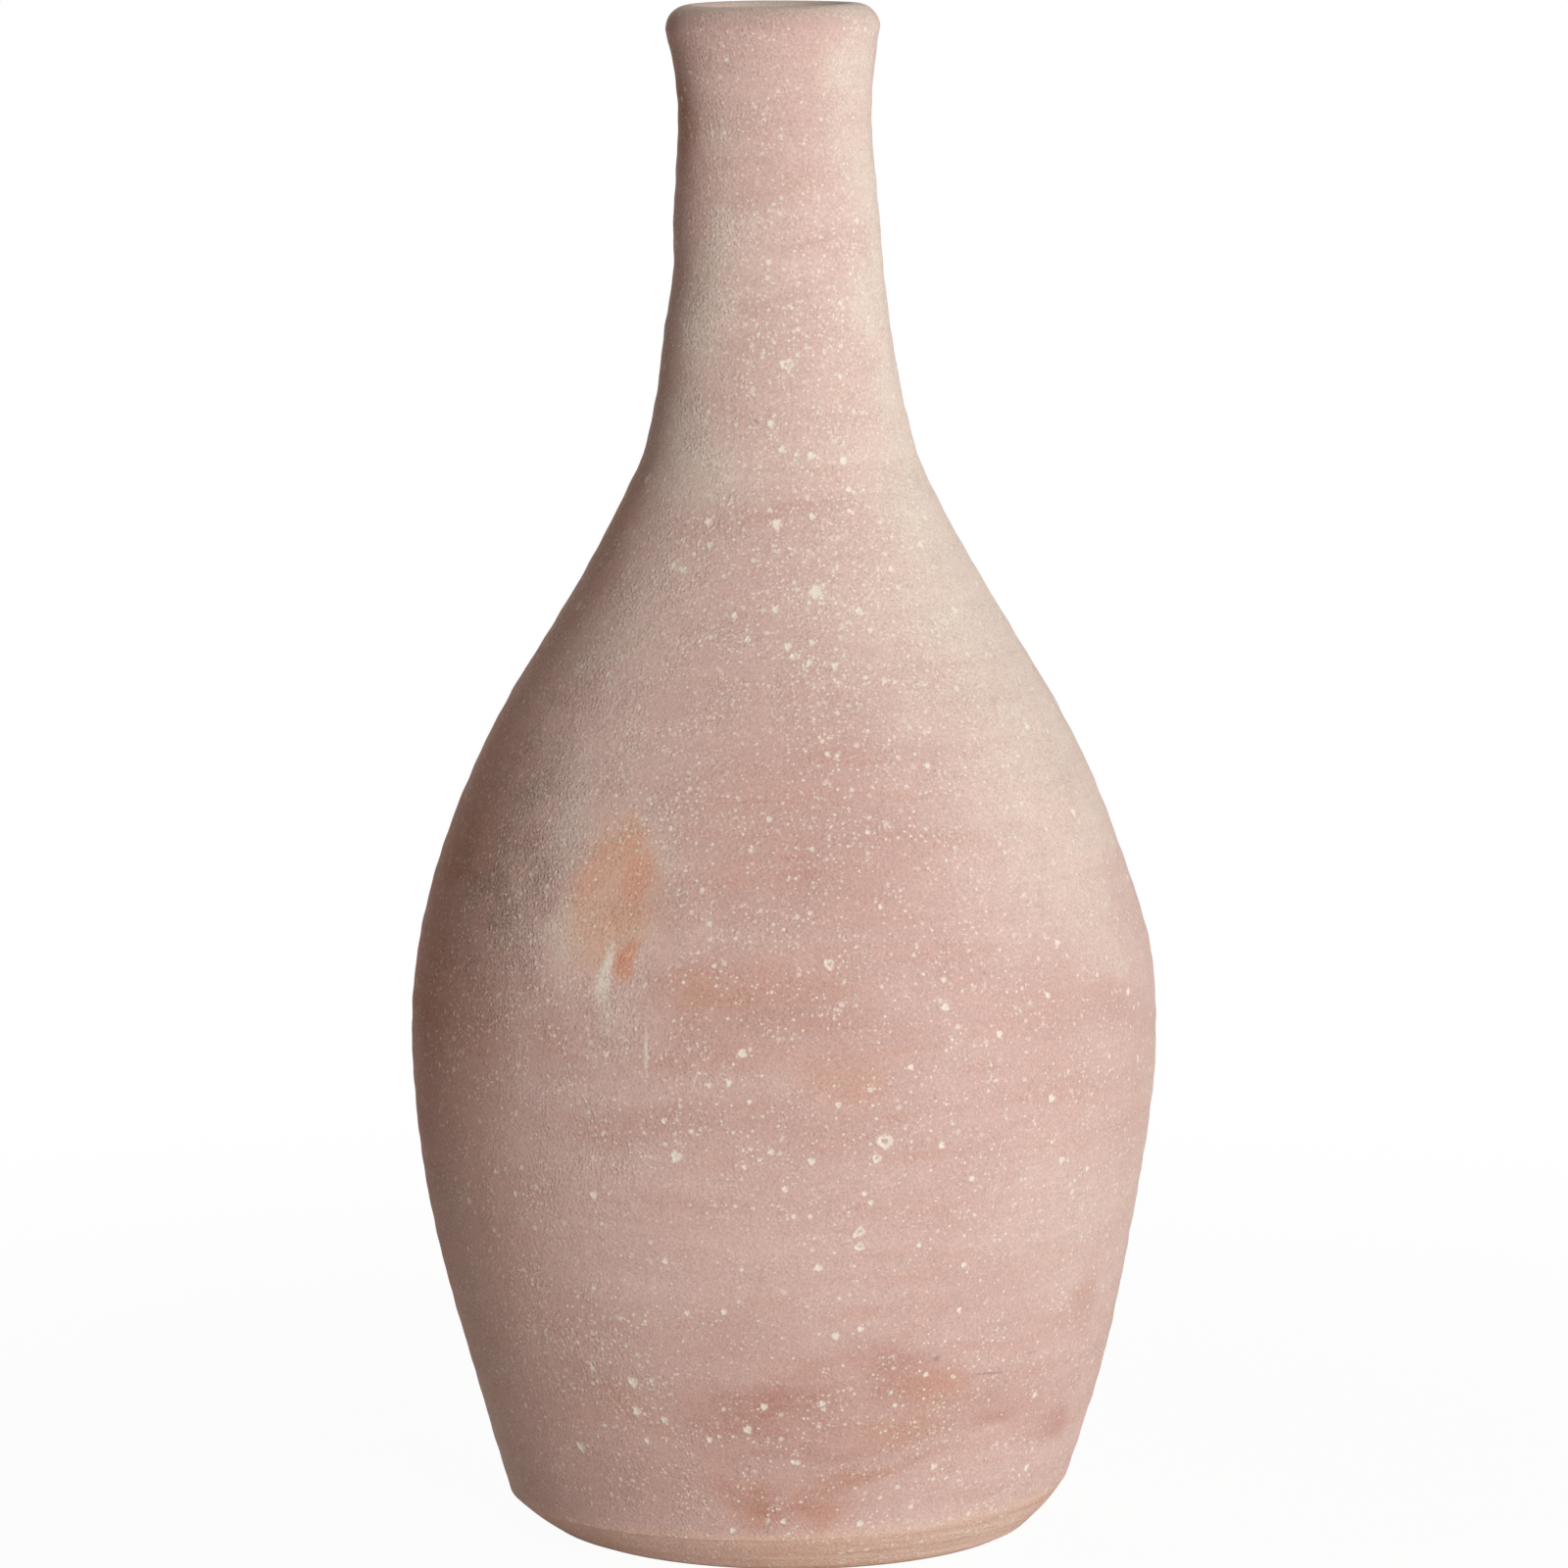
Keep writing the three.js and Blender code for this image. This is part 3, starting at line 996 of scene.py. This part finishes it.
# %% Noise at real sizes
Pattern = namedtuple("Pattern", "squeeze size detail roughness")
PATTERNS = {
    "cloud": Pattern(1, 60, 4, 0.5),
    "hue": Pattern(6, 32, 6, 0.6),
    "band": Pattern(6, 90, 4, 0.5),
    "streak": Pattern(30, 70, 3, 0.5),
    "clump": Pattern(1, 14, 2, 0.5),
    "mottle": Pattern(1, 5, 4, 0.5),
    "sand": Pattern(1, 0.9, 3, 0.7),
}


def noises(tree, spot):
    made = {}
    for name, pattern in PATTERNS.items():
        squeezed = add_node(tree, "ShaderNodeMapping", {"Vector": spot, "Scale": (1, 1, pattern.squeeze)})
        settings = {"Scale": 1 / pattern.size, "Detail": pattern.detail, "Roughness": pattern.roughness}
        made[name] = add_node(tree, "ShaderNodeTexNoise", {"Vector": squeezed, **settings})
    return made


print("patterns, mm:", {name: pattern.size for name, pattern in PATTERNS.items()})

# %% Mixed patterns
TONE_SHARES = {"cloud": 0.3, "band": 0.3, "streak": 0.15, "mottle": 0.25}
TONE_RANGE = {"From Min": 0.35, "From Max": 0.65}
CLUMP_RANGE = {"From Min": 0.35, "From Max": 0.65, "To Min": 0.5, "To Max": 1.3}
MIDDLE_GREY = (0.5, 0.5, 0.5)


def clay_patterns(tree):
    """The noises by name, the clay's tone, the clumping of its dust, and a place stirred by the sand."""
    place = add_node(tree, "ShaderNodeTexCoord").outputs["Object"]
    spot = add_node(tree, "ShaderNodeVectorMath", {0: place, "Scale": 1 / MM}, operation="SCALE")
    made = noises(tree, spot)
    mixed = 0
    for name, share in TONE_SHARES.items():
        parts = {0: made[name], 1: share, 2: mixed}
        mixed = add_node(tree, "ShaderNodeMath", parts, operation="MULTIPLY_ADD")
    made["tone"] = add_node(tree, "ShaderNodeMapRange", {"Value": mixed, **TONE_RANGE})
    made["clumping"] = add_node(tree, "ShaderNodeMapRange", {"Value": made["clump"], **CLUMP_RANGE})
    stir = {0: made["sand"].outputs["Color"], 1: MIDDLE_GREY}
    stir = add_node(tree, "ShaderNodeVectorMath", stir, operation="SUBTRACT")
    made["stirred"] = add_node(tree, "ShaderNodeVectorMath", {0: stir, 1: spot}, operation="ADD")
    return made


print("the clay's tone is mixed from", TONE_SHARES)

# %% [markdown]
# ## The colour of the clay
#
# The colour is layered the way that the pot got it: the pink body, iron that reddens it here and there,
# then the painted layers from the paler pink to the soot, and last the sand. The paler pink, the flashes,
# the rust, the haze and the lime also hold painted light and shade in places. Each layer is multiplied by
# the uneven tone, so that no painted edge stays smooth. Mixing them all from noise would need no painting,
# but would match no pot.

# %% Body and painted layers
BODY_DEEP = "#d1b1a9"
BODY_LIGHT = "#dec3bb"
IRON = "#d2a793"
IRON_RANGE = {"From Min": 0.5, "From Max": 0.8, "To Max": 0.5}
Layer = namedtuple("Layer", "name colour breaking")
LAYERS = (
    Layer("pale", "#e4c9c0", 0.6),
    Layer("flash_and_shade", "#be9183", 0.7),
    Layer("rust_and_shade", "#cf9a7c", 0.6),
    Layer("scraped", "#e0c0b0", 0.5),
    Layer("haze_and_light", "#e4d4c8", 0.6),
    Layer("stain", "#dfb399", 0.2),
    Layer("ember", "#df9a7a", 0.3),
    Layer("soot", "#857d7b", 0.2),
)


def painted_colour(tree, made):
    mix = {0: made["tone"], 6: linear(BODY_DEEP), 7: linear(BODY_LIGHT)}
    colour = add_node(tree, "ShaderNodeMix", mix, data_type="RGBA").outputs[2]
    iron = add_node(tree, "ShaderNodeMapRange", {"Value": made["hue"], **IRON_RANGE})
    mix = {0: iron, 6: colour, 7: linear(IRON)}
    colour = add_node(tree, "ShaderNodeMix", mix, data_type="RGBA").outputs[2]
    swing = add_node(tree, "ShaderNodeMapRange", {"Value": made["tone"], "To Min": -1})
    for layer in LAYERS:
        uneven = {0: swing, 1: layer.breaking, 2: 1}
        uneven = add_node(tree, "ShaderNodeMath", uneven, operation="MULTIPLY_ADD")
        paint_there = add_node(tree, "ShaderNodeAttribute", attribute_name=layer.name).outputs["Fac"]
        mask = {0: paint_there, 1: uneven}
        mask = add_node(tree, "ShaderNodeMath", mask, operation="MULTIPLY", use_clamp=True)
        mix = {0: mask, 6: colour, 7: linear(layer.colour)}
        colour = add_node(tree, "ShaderNodeMix", mix, data_type="RGBA").outputs[2]
    return colour


print(len(LAYERS), "painted layers over the body:", ", ".join(layer.name for layer in LAYERS))

# %% Knife lines and sand
KNIFE_LINE = "#cda58e"
KNIFE_RANGE = {"From Min": 0.4, "From Max": 0.7}
SAND_RANGE = {"From Min": 0.25, "From Max": 0.75, "To Min": 0.8, "To Max": 1.2}


def sanded(tree, made, colour, drag):
    if drag:
        scored = {"Value": made["streak"], "To Max": drag, **KNIFE_RANGE}
        scored = add_node(tree, "ShaderNodeMapRange", scored)
        mix = {0: scored, 6: colour, 7: linear(KNIFE_LINE)}
        colour = add_node(tree, "ShaderNodeMix", mix, data_type="RGBA").outputs[2]
    grain = add_node(tree, "ShaderNodeMapRange", {"Value": made["sand"], **SAND_RANGE})
    return add_node(tree, "ShaderNodeVectorMath", {0: colour, "Scale": grain}, operation="SCALE")


print("sand makes the colour up to", round(SAND_RANGE["To Max"] - 1, 2), "lighter or darker")

# %% [markdown]
# ## Lime in the clay
#
# Pale grit shows all over the wall: fine dust, specks, and a few crumbs. Each size is a Voronoi pattern,
# one possible grain in every cell, and the painted dust layer decides how many cells have one. A particle
# system could strew real grains, but there are tens of thousands, and most are a pixel or two wide. The
# finest are drawn a little larger than life, so that they still show.

# %% Grit
Grains = namedtuple("Grains", "spacing smallest largest")
FINE_DUST = Grains(1.6, 0.22, 0.65)
SPECKS = Grains(1.9, 0.4, 0.75)
LOOSE_CRUMBS = Grains(4.6, 0.6, 1.2)
GRAIN_CORE = 0.55  # a grain is solid out to this share of its radius
FAINTNESS = 1.3
FAINTEST = 0.45  # where there is more dust, its faintest grains are stronger too


def grit(tree, spot, share, grains):
    """Pale grains, with spacing and half sizes in millimetres, in a share of the cells."""
    cell = add_node(tree, "ShaderNodeTexVoronoi", {"Vector": spot, "Scale": 1 / grains.spacing})
    chance = add_node(tree, "ShaderNodeSeparateColor", {0: cell.outputs["Color"]}).outputs
    smallest = grains.smallest / grains.spacing
    largest = grains.largest / grains.spacing
    sizes = {"Value": chance[0], "To Min": smallest, "To Max": largest}
    edge = add_node(tree, "ShaderNodeMapRange", sizes)
    core = add_node(tree, "ShaderNodeMath", {0: edge, 1: GRAIN_CORE}, operation="MULTIPLY")
    away = {"Value": cell.outputs["Distance"], "From Min": edge, "From Max": core}
    grain = add_node(tree, "ShaderNodeMapRange", away)
    there = add_node(tree, "ShaderNodeMath", {0: chance[1], 1: share}, operation="LESS_THAN")
    strength = add_node(tree, "ShaderNodeMath", {0: chance[2], 1: FAINTNESS}, operation="POWER")
    faintest = add_node(tree, "ShaderNodeMath", {0: share, 1: FAINTEST}, operation="MULTIPLY")
    strength = add_node(tree, "ShaderNodeMapRange", {"Value": strength, "To Min": faintest})
    there = add_node(tree, "ShaderNodeMath", {0: there, 1: strength}, operation="MULTIPLY")
    return add_node(tree, "ShaderNodeMath", {0: grain, 1: there}, operation="MULTIPLY")


print("half sizes of the grit, mm:", FINE_DUST.smallest, "to", LOOSE_CRUMBS.largest)

# %% Pops with ragged edges
FULL_POP = 1.2
RAGGEDNESS = 6


def ragged_pops(tree, made):
    popped = add_node(tree, "ShaderNodeAttribute", attribute_name="lime").outputs["Fac"]
    rest = add_node(tree, "ShaderNodeMath", {0: FULL_POP, 1: popped}, operation="SUBTRACT")
    edge = add_node(tree, "ShaderNodeMath", {0: popped, 1: rest}, operation="MULTIPLY")
    ragged = add_node(tree, "ShaderNodeMath", {0: made["sand"], 1: 0.5}, operation="SUBTRACT")
    ragged = add_node(tree, "ShaderNodeMath", {0: ragged, 1: RAGGEDNESS}, operation="MULTIPLY")
    torn = {0: ragged, 1: edge, 2: popped}
    return add_node(tree, "ShaderNodeMath", torn, operation="MULTIPLY_ADD", use_clamp=True)


print("sand tears the edge of every pop")

# %% Cover of lime
LIME = "#f3ecdf"
LIME_COVER = 0.95
SPECKS_FROM = 0.45  # specks appear only where there is more dust than this


def limed(tree, made, colour):
    dusty = add_node(tree, "ShaderNodeAttribute", attribute_name="dust").outputs["Fac"]
    share = add_node(tree, "ShaderNodeMath", {0: dusty, 1: made["clumping"]}, operation="MULTIPLY")
    extra = add_node(tree, "ShaderNodeMath", {0: share, 1: SPECKS_FROM}, operation="SUBTRACT")
    lime = grit(tree, made["stirred"], share, FINE_DUST)
    specks = grit(tree, made["stirred"], extra, SPECKS)
    crumbs = grit(tree, made["stirred"], share, LOOSE_CRUMBS)
    for grains in (specks, crumbs, ragged_pops(tree, made)):
        lime = add_node(tree, "ShaderNodeMath", {0: lime, 1: grains}, operation="MAXIMUM")
    lime = add_node(tree, "ShaderNodeMath", {0: lime, 1: LIME_COVER}, operation="MULTIPLY")
    mix = {0: lime, 6: colour, 7: linear(LIME)}
    return add_node(tree, "ShaderNodeMix", mix, data_type="RGBA").outputs[2]


print("lime covers up to", round(100 * LIME_COVER), "% of the clay under it")

# %% [markdown]
# ## The skin
#
# Sand stands proud of the skin as small round beads, most of all on the left of the belly, and the knife
# dragged lines through the foot. They are far too small to model, so a bump turns the shading only.
# Displacement would make them real, at the price of a hundred times the faces.

# %% Relief
BEAD_SPACING = 1.3
BEAD_RANGE = {"From Min": 0.5, "From Max": 0.1}
BEAD_HEIGHT = 0.6
GRAIN_HEIGHT = 0.6
MOTTLE_HEIGHT = 0.2


def skin_bump(tree, made, drag):
    cell = add_node(tree, "ShaderNodeTexVoronoi", {"Vector": made["stirred"], "Scale": 1 / BEAD_SPACING})
    bead = add_node(tree, "ShaderNodeMapRange", {"Value": cell.outputs["Distance"], **BEAD_RANGE})
    beads = {0: bead, 1: BEAD_HEIGHT, 2: made["sand"]}
    relief = add_node(tree, "ShaderNodeMath", beads, operation="MULTIPLY_ADD")
    coarse = add_node(tree, "ShaderNodeAttribute", attribute_name="coarse").outputs["Fac"]
    for factor in (made["clumping"], coarse, GRAIN_HEIGHT):
        relief = add_node(tree, "ShaderNodeMath", {0: relief, 1: factor}, operation="MULTIPLY")
    for pattern, raised in (("mottle", MOTTLE_HEIGHT), ("streak", drag)):
        lines = {0: made[pattern], 1: raised, 2: relief}
        relief = add_node(tree, "ShaderNodeMath", lines, operation="MULTIPLY_ADD")
    return add_node(tree, "ShaderNodeBump", {"Height": relief, "Distance": MM})


print("beads of sand every", BEAD_SPACING, "mm")

# %% [markdown]
# ## Two finishes of one clay
#
# Low-fired terracotta is matt and open: it takes light evenly and has almost no sheen, so its specular
# level is low and its roughness high, a little lower where the sponge closed the skin. The same function
# makes both finishes. The foot's clay was scraped with a knife, and that finish adds the dragged lines.

# %% Terracotta
SPONGED_TO_DUSTY = {"To Min": 0.82, "To Max": 0.95}
FAINT_SHEEN = 0.2
OPEN_SURFACE = 0.3
NO_DRAG = 0
KNIFE_DRAG = 0.6


def terracotta(name, drag):
    material = bpy.data.materials.new(name)
    material.use_nodes = True
    tree = material.node_tree
    tree.nodes.clear()
    made = clay_patterns(tree)
    colour = sanded(tree, made, painted_colour(tree, made), drag)
    surface = {
        "Base Color": limed(tree, made, colour),
        "Roughness": add_node(tree, "ShaderNodeMapRange", {"Value": made["tone"], **SPONGED_TO_DUSTY}),
        "Normal": skin_bump(tree, made, drag),
        "Specular IOR Level": FAINT_SHEEN,
        "Diffuse Roughness": OPEN_SURFACE,
    }
    shader = add_node(tree, "ShaderNodeBsdfPrincipled", surface)
    add_node(tree, "ShaderNodeOutputMaterial", {"Surface": shader})
    print(name, "has", len(tree.nodes), "nodes")
    return material


# Fired and left dusty: chalky pink with pale specks, and no highlight anywhere
fired_clay = terracotta("low_fired_terracotta", NO_DRAG)
# Scraped with a knife before firing: the same clay, with thin brown lines dragged round the foot
scraped_clay = terracotta("knife_scraped_terracotta", KNIFE_DRAG)

# %% [markdown]
# ## Dressing the frame
#
# Each new section takes the place of its plain solid, rides on the pot's one body, and takes its finish.
# The solids could be painted directly, but their facets are too coarse for a close look.

# %% Dress the sections
pieces = {
    "floor_slab": floor_slab,
    "lower_wall": lower_wall,
    "belly_wall": belly_wall,
    "shoulder": shoulder,
    "lower_neck": lower_neck,
    "upper_neck": upper_neck,
}
for node_name, piece in pieces.items():
    piece.data.materials.append(scraped_clay if node_name == "floor_slab" else fired_clay)
    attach(piece, "root")
    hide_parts(node_name)
print(len(pieces), "sections are dressed")

# %% [markdown]
# ## The studio floor
#
# White paper, lit so that it disappears. The paper could be lit with more lamps until it burns out, but
# that light would fall on the pot too. So the paper shines by itself but sends no light to the pot, and it
# shines a little less near the pot, where its shadow lies.

# %% Rays that see the background


def seen_rays(tree):
    """1 for a ray from the camera, or one that a shiny or clear thing sends on, and 0 for any other."""
    path = add_node(tree, "ShaderNodeLightPath").outputs
    shown = {0: path["Is Camera Ray"], 1: path["Is Glossy Ray"]}
    shown = add_node(tree, "ShaderNodeMath", shown, operation="MAXIMUM")
    shown = {0: shown, 1: path["Is Transmission Ray"]}
    return add_node(tree, "ShaderNodeMath", shown, operation="MAXIMUM")


WHITE = (1, 1, 1, 1)
print("the background shines white at a strength of", WHITE[0])

# %% White paper
PAPER = "#f2f1ef"
GLOW_RANGE = {"From Min": 0.2, "From Max": 0.9, "To Min": 0.96, "To Max": 1}

# Smooth matt paper: no grain shows, because it shines as white as the room behind it
paper = bpy.data.materials.new("white_studio_paper")
paper.use_nodes = True
tree = paper.node_tree
tree.nodes.clear()
place = add_node(tree, "ShaderNodeTexCoord").outputs["Object"]
away = add_node(tree, "ShaderNodeVectorMath", {0: place}, operation="LENGTH").outputs["Value"]
glow = add_node(tree, "ShaderNodeMapRange", {"Value": away, **GLOW_RANGE}, interpolation_type="SMOOTHSTEP")
share = add_node(tree, "ShaderNodeMath", {0: glow, 1: seen_rays(tree)}, operation="MULTIPLY")
matt = add_node(tree, "ShaderNodeBsdfDiffuse", {"Color": linear(PAPER)})
bright = add_node(tree, "ShaderNodeEmission", {"Color": WHITE, "Strength": 1})
mixed = add_node(tree, "ShaderNodeMixShader", {0: share, 1: matt, 2: bright})
add_node(tree, "ShaderNodeOutputMaterial", {"Surface": mixed})
print("the paper has", len(tree.nodes), "nodes")

# %% Floor
FLOOR_SIZE = 3

bm = bmesh.new()
bmesh.ops.create_grid(bm, x_segments=1, y_segments=1, size=FLOOR_SIZE)
floor_mesh = bpy.data.meshes.new("studio_floor")
bm.to_mesh(floor_mesh)
bm.free()
floor_mesh.materials.append(paper)
studio_floor = bpy.data.objects.new("studio_floor", floor_mesh)
bpy.context.scene.collection.objects.link(studio_floor)
print("the floor is", 2 * FLOOR_SIZE, "m wide")

# %% [markdown]
# ## Room and lamps
#
# A warm, dim room fills the shadows. One large soft lamp to the right of the camera models the pot, a
# weaker one lights its right edge, and a third keeps the back from going dark when the camera walks round.
# A single sun would be simpler, but a soft pot needs soft shadows.

# %% Room
ROOM_LIGHT = "#ffd6bc"
ROOM_STRENGTH = 0.096

room = bpy.data.worlds.new("studio_room")
room.use_nodes = True
tree = room.node_tree
tree.nodes.clear()
dim = add_node(tree, "ShaderNodeBackground", {"Color": linear(ROOM_LIGHT), "Strength": ROOM_STRENGTH})
white = add_node(tree, "ShaderNodeBackground", {"Color": WHITE, "Strength": 1})
both = add_node(tree, "ShaderNodeMixShader", {0: seen_rays(tree), 1: dim, 2: white})
add_node(tree, "ShaderNodeOutputWorld", {"Surface": both})
bpy.context.scene.world = room
print("the room gives light of", ROOM_LIGHT, "at a strength of", ROOM_STRENGTH)

# %% Lamps
Lamp = namedtuple("Lamp", "name turn rise distance wide tall watts colour")
LAMPS = (
    Lamp("key_softbox", 23, 14, 2.4, 0.9, 1.4, 41.7, "#fffefc"),
    Lamp("side_softbox", 93, 14, 2.4, 0.9, 1.4, 13, "#fafcff"),
    Lamp("back_softbox", -168, 10, 2.4, 0.9, 1.4, 30, "#fff0e4"),
)
AIM = Vector((0, 0, 0.25))

for lamp in LAMPS:
    light = bpy.data.lights.new(lamp.name, "AREA")
    light.shape = "RECTANGLE"
    light.size = lamp.wide
    light.size_y = lamp.tall
    light.energy = lamp.watts
    light.color = linear(lamp.colour)[:3]
    stand = bpy.data.objects.new(lamp.name, light)
    around = math.radians(lamp.turn)
    up = math.radians(lamp.rise)
    way = Vector((math.sin(around) * math.cos(up), -math.cos(around) * math.cos(up), math.sin(up)))
    stand.location = AIM + way * lamp.distance
    stand.rotation_euler = way.to_track_quat("Z", "Y").to_euler()
    stand.visible_camera = False
    bpy.context.scene.collection.objects.link(stand)
    print(lamp.name, "gives", lamp.watts, "W")

# %% [markdown]
# ## Finish
#
# Colours are shown as they are written, without a film look.

# %% The view transform, and the end
bpy.context.scene.view_settings.view_transform = "Standard"
